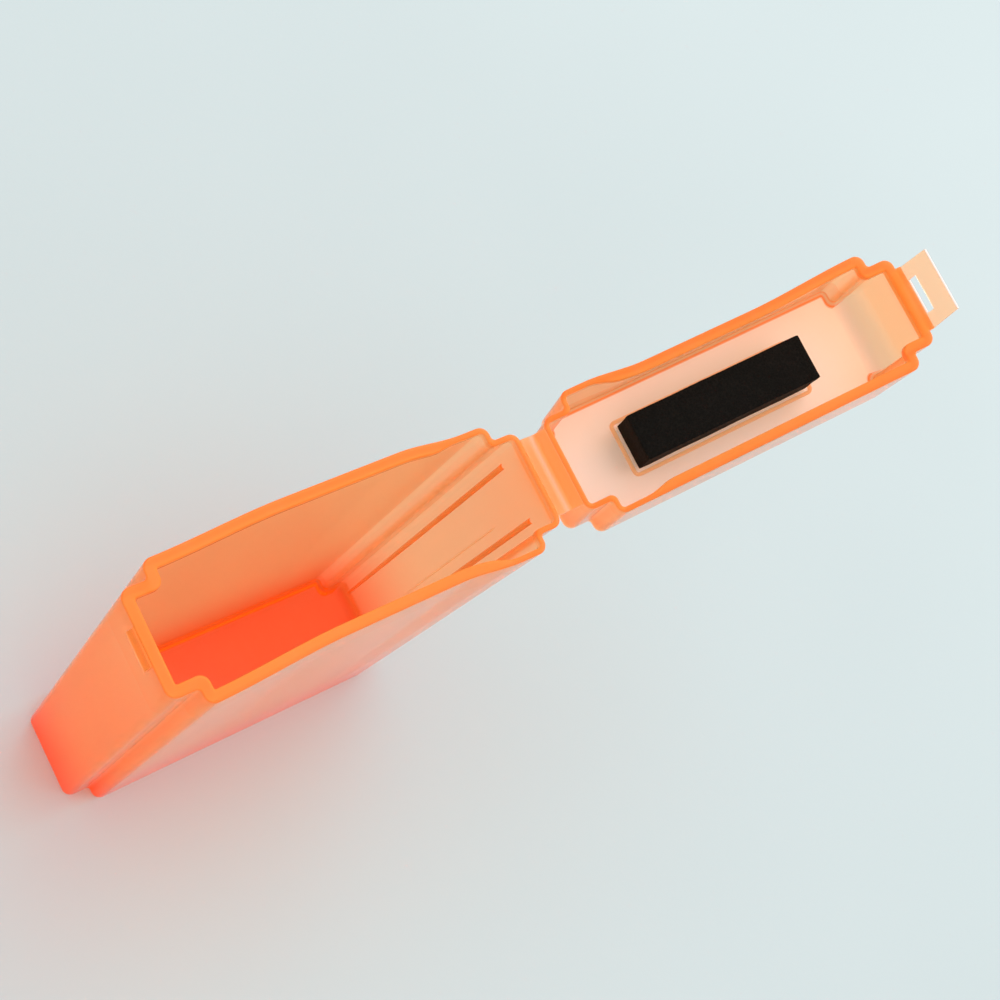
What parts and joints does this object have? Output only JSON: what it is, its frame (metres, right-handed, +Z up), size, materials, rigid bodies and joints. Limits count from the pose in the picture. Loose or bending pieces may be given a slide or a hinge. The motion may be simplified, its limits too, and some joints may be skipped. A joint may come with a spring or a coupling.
{
  "type": "hinged insect trap case",
  "caption": "Deep open-topped catch tub with a living-hinged shallow lid, slotted latch tab and a black lure pad fixed inside the lid.",
  "frame": {"origin": "centre of the tub's flat base", "axes": "+Z up, from the tub's base to its rim; +X from the tub towards the hinge and the open lid; Y along the hinge line"},
  "size_m": [0.2614, 0.0418, 0.2084],
  "materials": {
    "tub_plastic": "frosted translucent orange polypropylene",
    "lid_plastic": "frosted translucent orange polypropylene, thin and pale",
    "hinge_plastic": "translucent pale orange polypropylene",
    "tab_plastic": "translucent pale orange polypropylene",
    "pad_foam": "matt black closed-cell foam",
    "adhesive": "pale double-sided adhesive film"
  },
  "bodies": {
    "tub": {"tub_shell": "tub_plastic", "tub_rim": "tub_plastic", "tub_catch": "tub_plastic", "end_rib_far": "tub_plastic", "end_rib_near": "tub_plastic", "tub_hinge_strap": "hinge_plastic", "hinge_web": "hinge_plastic"},
    "lid": {"lid_hinge_strap": "hinge_plastic", "lid_shell": "lid_plastic", "lid_rim": "lid_plastic", "pad_frame": "lid_plastic", "pad_tape": "adhesive", "lure_pad": "pad_foam", "latch_root": "tab_plastic"},
    "latch": {"latch_tab": "tab_plastic"}
  },
  "joints": [
    {"name": "lid_hinge", "type": "hinge", "parent": "tub", "child": "lid", "pos_m": [0.0663, 0, 0.154], "axis": [0, -1, 0], "range_deg": [-30, 162.4]},
    {"name": "latch_flex", "type": "hinge", "parent": "lid", "child": "latch", "pos_m": [0.19055, 0, 0.19357], "axis": [0, 1, 0], "range_deg": [0, 20], "stiffness_Nm_per_rad": 0.02}
  ]
}
